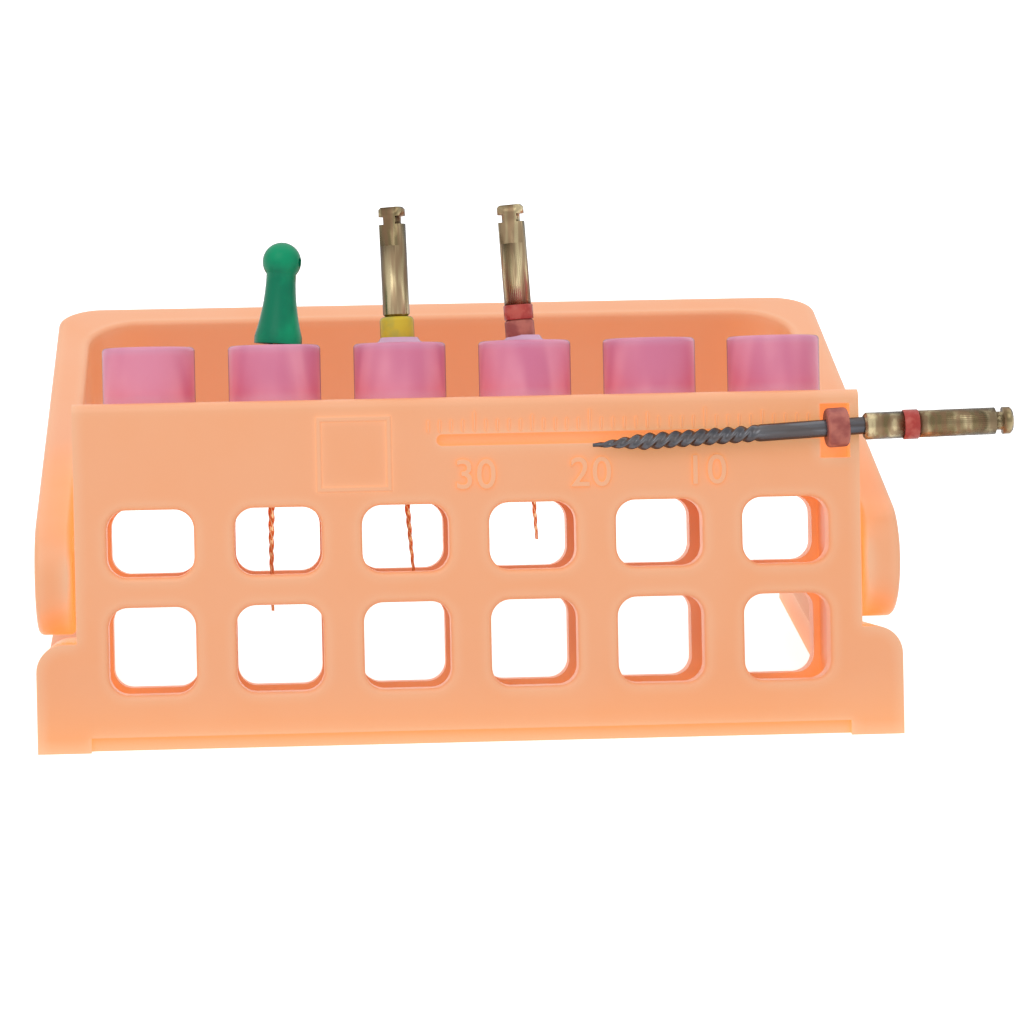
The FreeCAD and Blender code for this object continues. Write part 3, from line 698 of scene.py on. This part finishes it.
class Finishes:
    """All the materials, and the slot and material of each node."""

    def __init__(self) -> None:
        """Makes the shared groups and every material."""
        effects = Effects()
        standing, lying = (SLAB.lean, 0.0, 0.0), (0.0, 90.0, 0.0)
        # Moulding colours: colour, tint, pale painted highlight of edges, saturated painted shade
        # of hollows, and the colour of their painted glow.
        orange = (srgb(252, 178, 132), srgb(252, 172, 122), srgb(253, 202, 164),
                  srgb(255, 156, 84), (0.86, 0.44, 0.13))
        self.moulding = MouldedPlastic("orange_moulding", *orange).make(effects)
        self.relief = MouldedPlastic("orange_relief", *orange, edge_amount=0.3,
                                     glow_strength=0.3).make(effects)
        self.silicone = Silicone(
            "pink_silicone", srgb(230, 140, 168), srgb(208, 108, 146), srgb(236, 152, 176),
            srgb(216, 174, 204), srgb(96, 52, 74)).make(effects)
        self.steel = TurnedMetal(
            "file_steel", srgb(104, 104, 108), srgb(72, 72, 78), srgb(84, 76, 74),
            srgb(36, 34, 38), lying).make(effects)
        self.bronze = TurnedMetal(
            "bronze_steel", srgb(240, 186, 140), srgb(222, 150, 96), srgb(196, 140, 100),
            srgb(160, 100, 60), standing).make(effects)
        gilt = TurnedMetal(
            "gilt_shank", srgb(196, 180, 142), srgb(112, 98, 70), srgb(128, 98, 76),
            srgb(58, 50, 42), standing).make(effects)
        green = GlossPlastic(
            "green_grip", srgb(0, 150, 104), srgb(0, 118, 86), srgb(10, 66, 56),
            roughness=0.35, drift=260.0, shine=0.2).make(effects)
        red = GlossPlastic(
            "red_ring", srgb(176, 62, 56), srgb(196, 92, 80), srgb(92, 40, 44),
            roughness=0.35, drift=1500.0).make(effects)
        yellow = GlossPlastic(
            "yellow_stop", srgb(214, 186, 52), srgb(186, 172, 70), srgb(98, 88, 48),
            roughness=0.45, drift=700.0).make(effects)
        brown = GlossPlastic(
            "brown_stop", srgb(190, 112, 98), srgb(150, 74, 70), srgb(86, 44, 48),
            roughness=0.5, drift=700.0).make(effects)
        self.by_slot = {
            Slot.MOULDING: self.moulding, Slot.SILICONE: self.silicone, Slot.GRIP: green,
            Slot.STEEL: self.steel, Slot.GILT: gilt, Slot.RING: red, Slot.YELLOW: yellow,
            Slot.BROWN: brown}
        self.slots = {part["node"]: Slot(part["material_slot"])
                      for part in frame["record"]["subparts"]}

    def dress_nodes(self) -> None:
        """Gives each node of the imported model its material."""
        for node, slot in self.slots.items():
            dress(frame["nodes"][node], self.by_slot[slot])


def dress(piece: bpy.types.Object, material: bpy.types.Material) -> None:
    """Gives a piece one material in place of what it had.

    Args:
        piece: The piece.
        material: Its new material.
    """
    piece.data.materials.clear()
    piece.data.materials.append(material)


def add_piece(name: str, mesh: bmesh.types.BMesh, material: bpy.types.Material, body: Body,
              smooth: float | None = None) -> bpy.types.Object:
    """Makes a scene object of a mesh that is already in place, and lets it ride on a body.

    Args:
        name: Name of the piece.
        mesh: Its mesh, which is freed.
        material: Its finish.
        body: The body that carries it.
        smooth: Angle in degrees under which edges are smooth, or None for flat faces.

    Returns:
        The object.
    """
    data = bpy.data.meshes.new(name)
    bmesh.ops.recalc_face_normals(mesh, faces=mesh.faces)
    mesh.to_mesh(data)
    mesh.free()
    piece = bpy.data.objects.new(name, data)
    bpy.context.scene.collection.objects.link(piece)
    dress(piece, material)
    if smooth is not None:
        data.shade_smooth()
        data.set_sharp_from_angle(angle=math.radians(smooth))
    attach(piece, body.value)
    log.info("%s: %d faces", name, len(data.polygons))
    return piece


def node_mesh(node: str) -> bmesh.types.BMesh:
    """A copy of a node's mesh, in the frame of the whole part.

    Args:
        node: The node.

    Returns:
        The mesh.
    """
    source = frame["nodes"][node]
    mesh = bmesh.new()
    mesh.from_mesh(source.data)
    mesh.transform(source.matrix_world)
    bmesh.ops.remove_doubles(mesh, verts=mesh.verts, dist=WELD)
    return mesh


def turned_about_y(angle: float) -> Matrix:
    """A turn about Y, which leans an upright thing to the right.

    Args:
        angle: The angle in degrees.

    Returns:
        The matrix.
    """
    return Matrix.Rotation(math.radians(angle), 4, "Y")


def join_rings(mesh: bmesh.types.BMesh, rings: list[list[bmesh.types.BMVert]],
               closed: bool = False) -> None:
    """Joins neighbouring rings of vertices with faces.

    Args:
        mesh: The mesh of the vertices.
        rings: The rings, all of one length.
        closed: Whether the last ring is joined to the first.
    """
    following = rings[1:] + rings[:1] if closed else rings[1:]
    for ring, other in zip(rings, following):
        for index in range(len(ring)):
            ahead = (index + 1) % len(ring)
            mesh.faces.new((ring[index], ring[ahead], other[ahead], other[index]))


@dataclass
class Camera:
    """The camera at the photograph's place, from a fit to the stand's corners and windows."""

    place: tuple[float, float, float] = (-17.58 * MM, -260.0 * MM, 95.79 * MM)
    yaw: float = 2.653
    pitch: float = -15.756
    roll: float = -0.504
    focal_pixels: float = 3189.2
    shift_pixels: tuple[float, float] = (-105.0, -20.0)
    image_side: int = 1024
    sensor: float = 36.0
    clip: tuple[float, float] = (0.01, 10.0)

    def make(self) -> None:
        """Makes the camera and sets it as the scene's."""
        yaw, pitch, roll = (math.radians(angle) for angle in (self.yaw, self.pitch, self.roll))
        forward = Vector((math.sin(yaw) * math.cos(pitch), math.cos(yaw) * math.cos(pitch),
                          math.sin(pitch)))
        level = Vector((math.cos(yaw), -math.sin(yaw), 0))
        upright = level.cross(forward)
        right = level * math.cos(roll) + upright * math.sin(roll)
        up = upright * math.cos(roll) - level * math.sin(roll)
        data = bpy.data.cameras.new("camera")
        data.sensor_width = self.sensor
        data.lens = self.focal_pixels * self.sensor / self.image_side
        data.shift_x = -self.shift_pixels[0] / self.image_side
        data.shift_y = self.shift_pixels[1] / self.image_side
        data.clip_start, data.clip_end = self.clip
        camera = bpy.data.objects.new("camera", data)
        turn = Matrix((right, up, -forward)).transposed().to_4x4()
        camera.matrix_world = Matrix.Translation(self.place) @ turn
        bpy.context.scene.collection.objects.link(camera)
        bpy.context.scene.camera = camera


@dataclass
class Studio:
    """White floor, white surroundings and soft lamps."""

    floor_half: float = 1.2
    floor_colour: Colour = (0.86, 0.86, 0.86)
    floor_roughness: float = 0.9
    floor_glow: float = 0.66
    surround: float = 0.76
    key_power: float = 1.1
    key_size: float = 0.5
    key_place: tuple[float, float, float] = (-0.25, -0.45, 0.65)
    top_power: float = 0.7
    top_size: float = 0.7
    top_place: tuple[float, float, float] = (0.1, 0.25, 0.7)
    target: tuple[float, float, float] = (0.0, 0.012, 0.018)

    def make(self) -> None:
        """Makes the surroundings, the floor and the lamps."""
        self.make_world()
        self.make_floor()
        self.make_lamp("key_lamp", self.key_place, self.key_size, self.key_power)
        self.make_lamp("top_lamp", self.top_place, self.top_size, self.top_power)

    def make_world(self) -> None:
        """Surroundings that light softly and show as plain white."""
        world = bpy.data.worlds.new("surroundings")
        world.use_nodes = True
        bpy.context.scene.world = world
        nodes = Nodes(world.node_tree)
        background = world.node_tree.nodes["Background"]
        strength = nodes.remap(nodes.seen_directly(), low=0.0, high=1.0, start=self.surround,
                               smooth=False)
        nodes.feed(background.inputs["Color"], WHITE)
        nodes.feed(background.inputs["Strength"], strength)

    def make_floor(self) -> None:
        """A white floor that still takes the holder's soft shadow."""
        mesh = bmesh.new()
        bmesh.ops.create_grid(mesh, x_segments=1, y_segments=1, size=self.floor_half)
        data = bpy.data.meshes.new("floor")
        mesh.to_mesh(data)
        mesh.free()
        floor = bpy.data.objects.new("floor", data)
        bpy.context.scene.collection.objects.link(floor)
        material, nodes, shader = new_material("floor_white")
        nodes.feed(shader.inputs["Base Color"], self.floor_colour)
        shader.inputs["Roughness"].default_value = self.floor_roughness
        glow = nodes.add("Emission")
        nodes.feed(glow.inputs["Color"], WHITE)
        nodes.feed(glow.inputs["Strength"],
                   nodes.math("MULTIPLY", nodes.seen_directly(), self.floor_glow))
        both = nodes.add("AddShader")
        nodes.feed(both.inputs[0], shader.outputs[0])
        nodes.feed(both.inputs[1], glow.outputs[0])
        output = material.node_tree.nodes["Material Output"]
        nodes.feed(output.inputs["Surface"], both.outputs[0])
        dress(floor, material)

    def make_lamp(self, name: str, place: tuple[float, float, float], side: float,
                  power: float) -> None:
        """A square soft lamp that points at the holder.

        Args:
            name: Name of the lamp.
            place: Where it hangs.
            side: Side of its face.
            power: Its power in watts.
        """
        data = bpy.data.lights.new(name, "AREA")
        data.size = side
        data.energy = power
        lamp = bpy.data.objects.new(name, data)
        aim = Vector(self.target) - Vector(place)
        turn = aim.to_track_quat("-Z", "Y").to_matrix().to_4x4()
        lamp.matrix_world = Matrix.Translation(place) @ turn
        bpy.context.scene.collection.objects.link(lamp)


@dataclass
class Ruler:
    """Raised graduations and figures of the ruler on the front panel.

    A figure takes up figure_share of its font's height.
    """

    last_mark: int = 34
    middle_every: int = 5
    long_every: int = 10
    tick_foot: float = 27.0 * MM
    short_tick: float = 1.0 * MM
    middle_tick: float = 1.35 * MM
    long_tick: float = 1.7 * MM
    tick_width: float = 0.16 * MM
    tick_height: float = 0.14 * MM
    figure_foot: float = 22.1 * MM
    figure_height: float = 2.5 * MM
    figure_proud: float = 0.16 * MM
    figure_bevel: float = 0.04 * MM
    figure_spacing: float = 1.05
    figure_share: float = 0.7
    figures: tuple[int, ...] = (30, 20, 10)
    sunk: float = 0.05 * MM

    def make(self, finishes: Finishes) -> None:
        """Makes the ticks and the figures.

        Args:
            finishes: The materials.
        """
        self.make_ticks(finishes)
        for figure in self.figures:
            self.make_figure(figure, finishes)

    def make_ticks(self, finishes: Finishes) -> None:
        """One mesh of fine raised lines, a millimetre apart.

        Args:
            finishes: The materials.
        """
        mesh = bmesh.new()
        for mark in range(1, self.last_mark + 1):
            length = self.short_tick
            if mark % self.long_every == 0:
                length = self.long_tick
            elif mark % self.middle_every == 0:
                length = self.middle_tick
            place = SLAB.matrix(SLAB.zero_x - mark * MM, 0.0, self.tick_foot)
            half, crown = self.tick_width / 2, self.tick_width / 4
            outline = [(-half, self.sunk), (-half, -self.tick_height / 2),
                       (-crown, -self.tick_height), (crown, -self.tick_height),
                       (half, -self.tick_height / 2), (half, self.sunk)]
            rings = [[mesh.verts.new(place @ Vector((across, depth, up)))
                      for across, depth in outline] for up in (0.0, length)]
            join_rings(mesh, rings)
            for ring in rings:
                mesh.faces.new(ring)
        add_piece("ruler_ticks", mesh, finishes.relief, Body.STAND)

    def make_figure(self, figure: int, finishes: Finishes) -> None:
        """One raised number, centred under its tick.

        Args:
            figure: The number of millimetres.
            finishes: The materials.
        """
        curve = bpy.data.curves.new("ruler_figure", "FONT")
        curve.body = str(figure)
        curve.align_x = "CENTER"
        curve.size = self.figure_height / self.figure_share
        curve.extrude = (self.figure_proud + self.sunk) / 2
        curve.bevel_depth = self.figure_bevel
        curve.bevel_resolution = 1
        curve.space_character = self.figure_spacing
        made = bpy.data.objects.new("ruler_figure", curve)
        bpy.context.scene.collection.objects.link(made)
        bpy.context.view_layer.update()
        data = bpy.data.meshes.new_from_object(made)
        upright = Matrix.Rotation(math.radians(90), 4, "X")
        middle = (self.sunk - self.figure_proud) / 2
        place = SLAB.matrix(SLAB.zero_x - figure * MM, middle, self.figure_foot)
        data.transform(place @ upright)
        bpy.data.objects.remove(made)
        mesh = bmesh.new()
        mesh.from_mesh(data)
        add_piece(f"ruler_figure_{figure}", mesh, finishes.relief, Body.STAND)


@dataclass
class SquareFrame:
    """The raised line round the bare square beside the ruler."""

    left: float = -13.1 * MM
    rise: float = 22.0 * MM
    side: float = 6.5 * MM
    line: float = 0.45 * MM
    height: float = 0.18 * MM
    sunk: float = 0.24 * MM

    def make(self, finishes: Finishes) -> None:
        """Makes the frame as one mitred ring with a softened crown.

        Args:
            finishes: The materials.
        """
        mesh = bmesh.new()
        section = [(0.0, self.sunk), (0.0, -self.height / 2), (self.line / 4, -self.height),
                   (self.line * 3 / 4, -self.height), (self.line, -self.height / 2),
                   (self.line, self.sunk)]
        corners = [(0, 0), (1, 0), (1, 1), (0, 1)]
        rings = []
        for across, depth in section:
            inner = self.side - 2 * across
            places = [SLAB.matrix(self.left + across + inner * right, depth,
                                  self.rise + across + inner * up) for right, up in corners]
            rings.append([mesh.verts.new(place.translation) for place in places])
        join_rings(mesh, rings, closed=True)
        add_piece("square_frame", mesh, finishes.relief, Body.STAND)


@dataclass
class Reseated:
    """Pieces of one file set at the small angle at which it leans, with the forms of their nodes.

    The first node also turns about its own axis by turn. A node that leans already stands upright
    again by the angle in stood, before it takes its file's tilt.
    """

    nodes: tuple[str, ...]
    column: int
    lift: float = 0.0
    turn: float = 0.0
    stood: float = 0.0

    def seat(self) -> Matrix:
        """Frame about which the file leans: its axis where it meets the shelf.

        Returns:
            The matrix from that frame to the world.
        """
        return SLAB.column_matrix(self.column)

    def make(self, finishes: Finishes) -> None:
        """Makes each piece in place of its node.

        Args:
            finishes: The materials.
        """
        for node in self.nodes:
            mesh = node_mesh(node)
            mesh.transform(self.shift(node))
            slot = finishes.slots[node]
            piece = add_piece(f"{node}_leaning", mesh, finishes.by_slot[slot], Body.STAND,
                              smooth=35)
            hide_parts(node)

    def shift(self, node: str) -> Matrix:
        """The small move from the node's place to the leaning place.

        Args:
            node: The node.

        Returns:
            The matrix of the move.
        """
        seat = self.seat()
        lift = Matrix.Translation((0, 0, self.lift))
        tilt, upright = turned_about_y(TILT[self.column]), turned_about_y(-self.stood)
        turn = Matrix.Rotation(math.radians(self.turn if node == self.nodes[0] else 0.0), 4, "Z")
        return seat @ lift @ tilt @ turn @ upright @ seat.inverted()


@dataclass
class ReseatedMeasured(Reseated):
    """The shank and ring of the measured file, turned about the middle of its stop."""

    def seat(self) -> Matrix:
        """Frame about which the shank turns: the middle of the stop.

        Returns:
            The matrix from that frame to the world.
        """
        return SLAB.groove_matrix()


def reseated() -> list[Reseated]:
    """The files that lean a little more than their nodes.

    Returns:
        Each file's pieces with its column and moves.
    """
    return [
        Reseated(("hand_file_handle",), HAND_FILE, lift=0.02 * MM, turn=72.0, stood=3.0),
        Reseated(("rotary_a_shank", "rotary_a_stop"), FILE_A, lift=0.04 * MM, turn=150.0),
        Reseated(("rotary_b_shank", "rotary_b_ring", "rotary_b_stop"), FILE_B, lift=0.09 * MM,
                 turn=165.0),
        ReseatedMeasured(("measured_file_shank", "measured_file_ring"), ON_RULER),
    ]


@dataclass
class Pucker:
    """Silicone drawn up round the stop of a file.

    Its profile gives millimetres out from the stop and shares of its height. Its radius waves a
    little on the way round.
    """

    column: int
    stop_radius: float
    play: float = 0.02 * MM
    height: float = 0.5 * MM
    profile: tuple[tuple[float, float], ...] = (
        (0.0, -0.05), (0.65, -0.05), (0.62, 0.05), (0.3, 0.35), (0.14, 0.85), (0.07, 1.0),
        (0.0, 0.95))
    waves: int = 3
    wave_share: float = 0.04
    sides: int = 64

    def make(self, finishes: Finishes) -> None:
        """Makes the pucker on its plug.

        Args:
            finishes: The materials.
        """
        inner = self.stop_radius + self.play
        stand = SLAB.column_matrix(self.column, above=SLAB.plug_height)
        mesh = bmesh.new()
        rings = []
        for outward, share in self.profile:
            radius = inner + outward * MM
            ring = []
            for side in range(self.sides):
                angle = 2 * math.pi * side / self.sides
                wave = 1 + self.wave_share * math.sin(self.waves * angle + self.column)
                ring.append(mesh.verts.new(stand @ Vector((
                    radius * wave * math.cos(angle), radius * wave * math.sin(angle),
                    share * self.height))))
            rings.append(ring)
        join_rings(mesh, rings, closed=True)
        add_piece(f"silicone_pucker_{self.column}", mesh, finishes.silicone, Body.STAND,
                  smooth=60)


@dataclass
class CoverShell:
    """The cover with arms as thick behind as beside the slab.

    Past the ramp along an arm, its outer face moves from thin_x out to thick_x.
    """

    pivot_depth: float = 5.3 * MM
    pivot_rise: float = 15.3 * MM
    tilt: float = 11.0
    inner_x: float = 34.3 * MM
    thick_x: float = 37.5 * MM
    thin_x: float = 36.9 * MM
    ramp_start: float = 26.0 * MM
    ramp: float = 1.2 * MM

    def make(self, finishes: Finishes) -> None:
        """Makes the shell in place of its node.

        Args:
            finishes: The materials.
        """
        mesh = node_mesh("swing_cover")
        hinge = SLAB.matrix(0.0, self.pivot_depth, self.pivot_rise).translation
        along = Vector((0, math.cos(math.radians(self.tilt)), math.sin(math.radians(self.tilt))))
        for vertex in mesh.verts:
            reach = (vertex.co - hinge).dot(along)
            ramped = min(1.0, max(0.0, (reach - self.ramp_start) / self.ramp))
            outer = self.thick_x + (self.thin_x - self.thick_x) * ramped
            share = (abs(vertex.co.x) - self.inner_x) / (outer - self.inner_x)
            widened = (self.thick_x - outer) * min(1.0, max(0.0, share))
            vertex.co.x += math.copysign(widened, vertex.co.x)
        piece = add_piece("cover_shell", mesh, finishes.moulding, Body.COVER,
                          smooth=35)
        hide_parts("swing_cover")


@dataclass
class FlutedBlade:
    """A file's blade: smooth shaft and a fluted working part that tapers to its tip.

    Its root runs into what holds it, and its reach runs from there to the tip. Where a point is
    given, only that length before the tip tapers.
    """

    node: str
    material: bpy.types.Material
    column: int
    diameter: float
    reach: float
    foot_rise: float = 0.0
    bend: float = 0.0
    shaft: float = 7.4 * MM
    root: float = 1.8 * MM
    tip: float = 0.26 * MM
    point: float | None = None
    lead: float = 3.4 * MM
    flutes: int = 3
    depth: float = 0.36
    hollowness: float = 0.8
    run_out: float = 1.0 * MM
    sides: int = 36
    row_step: float = 0.09 * MM

    def place(self) -> Matrix:
        """Frame of the blade, with its root at the origin and its tip below.

        Returns:
            The matrix from that frame to the world.
        """
        tilt = turned_about_y(TILT[self.column])
        up = tilt @ Vector((0, 0, self.foot_rise))
        return SLAB.column_matrix(self.column) @ Matrix.Translation(up) @ tilt

    def radius(self, below: float, angle: float) -> float:
        """Radius at a distance below the root, in a direction round the blade.

        Args:
            below: Distance from the root towards the tip.
            angle: Direction round the axis, in radians.

        Returns:
            The radius there.
        """
        left = self.reach - below
        tapered = self.point or self.reach - self.shaft
        full = self.tip / 2 + (self.diameter - self.tip) / 2 * min(1.0, max(0.0, left) / tapered)
        into = below - self.shaft
        if into <= 0:
            return self.diameter / 2
        fade = max(0.0, min(1.0, into / self.run_out, left / self.run_out))
        wave = 0.5 - 0.5 * math.cos(self.flutes * (angle - 2 * math.pi * into / self.lead))
        return full * (1 - self.depth * fade * wave ** self.hollowness)

    def sideways(self, below: float) -> float:
        """How far the bent blade has left its axis.

        Args:
            below: Distance from the root towards the tip.

        Returns:
            The distance from the axis.
        """
        into = max(0.0, below - self.shaft) / (self.reach - self.shaft)
        return self.bend * into ** 2

    def make(self) -> None:
        """Makes the blade in place of its node."""
        mesh = bmesh.new()
        place = self.place()
        rows = math.ceil((self.reach + self.root) / self.row_step)
        rings = []
        for row in range(rows + 1):
            below = -self.root + (self.reach + self.root) * row / rows
            ring = []
            for side in range(self.sides):
                angle = 2 * math.pi * side / self.sides
                radius = self.radius(below, angle)
                across = self.sideways(below) + radius * math.cos(angle)
                corner = Vector((across, radius * math.sin(angle), -below))
                ring.append(mesh.verts.new(place @ corner))
            rings.append(ring)
        join_rings(mesh, rings)
        mesh.faces.new(rings[0])
        mesh.faces.new(rings[-1])
        piece = add_piece(self.node.replace("_blade", "_fluted_blade"), mesh, self.material,
                          Body.STAND, smooth=50)
        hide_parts(self.node)


@dataclass
class MeasuredBlade(FlutedBlade):
    """The blade that lies on the ruler, with its axis falling a little towards the tip.

    Its start is how far the shank begins from the middle of the stop.
    """

    slope: float = 3.0
    start: float = 0.0

    def place(self) -> Matrix:
        """Frame of the blade, with the end of its shaft at the origin and its tip to the left.

        Returns:
            The matrix from that frame to the world.
        """
        slope = math.radians(self.slope)
        lie = Matrix.Rotation(math.radians(90) - slope, 4, "Y")
        return SLAB.groove_matrix(self.start * math.cos(slope), self.start * math.sin(slope)) @ lie


def blades(finishes: Finishes) -> list[FlutedBlade]:
    """The four blades with their sizes and seats.

    Args:
        finishes: The materials.

    Returns:
        The blades.
    """
    bronze, steel = finishes.bronze, finishes.steel
    in_handle, in_shank_a, in_shank_b = 0.15 * MM, 2.34 * MM, 1.89 * MM
    half_stop, neck, length, fluted = 0.95 * MM, 1.4 * MM, 21.2 * MM, 14.6 * MM
    start = half_stop + neck
    return [
        FlutedBlade("hand_file_blade", bronze, HAND_FILE, diameter=0.9 * MM, reach=23.4 * MM,
                    foot_rise=SLAB.plug_height + in_handle, bend=0.7 * MM),
        FlutedBlade("rotary_a_blade", bronze, FILE_A, diameter=0.9 * MM, reach=23.2 * MM,
                    foot_rise=SLAB.plug_height + in_shank_a, bend=0.5 * MM),
        FlutedBlade("rotary_b_blade", bronze, FILE_B, diameter=0.9 * MM, reach=19.4 * MM,
                    foot_rise=SLAB.plug_height + in_shank_b),
        MeasuredBlade("measured_file_blade", steel, ON_RULER, diameter=1.5 * MM,
                      reach=length + start, shaft=length + start - fluted, tip=0.3 * MM,
                      point=4.4 * MM, start=start),
    ]


def main() -> None:
    """Builds the camera, the studio, the finishes and each added piece in order."""
    logging.basicConfig(level=logging.INFO, format="%(name)s: %(message)s")
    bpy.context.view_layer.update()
    bpy.context.scene.view_settings.view_transform = "Standard"
    Camera().make()
    Studio().make()
    finishes = Finishes()
    finishes.dress_nodes()
    CoverShell().make(finishes)
    SquareFrame().make(finishes)
    Ruler().make(finishes)
    for file in reseated():
        file.make(finishes)
    for blade in blades(finishes):
        blade.make()
    Pucker(FILE_A, stop_radius=1.5 * MM).make(finishes)
    Pucker(FILE_B, stop_radius=1.3 * MM).make(finishes)


if __name__ == "__main__":
    main()
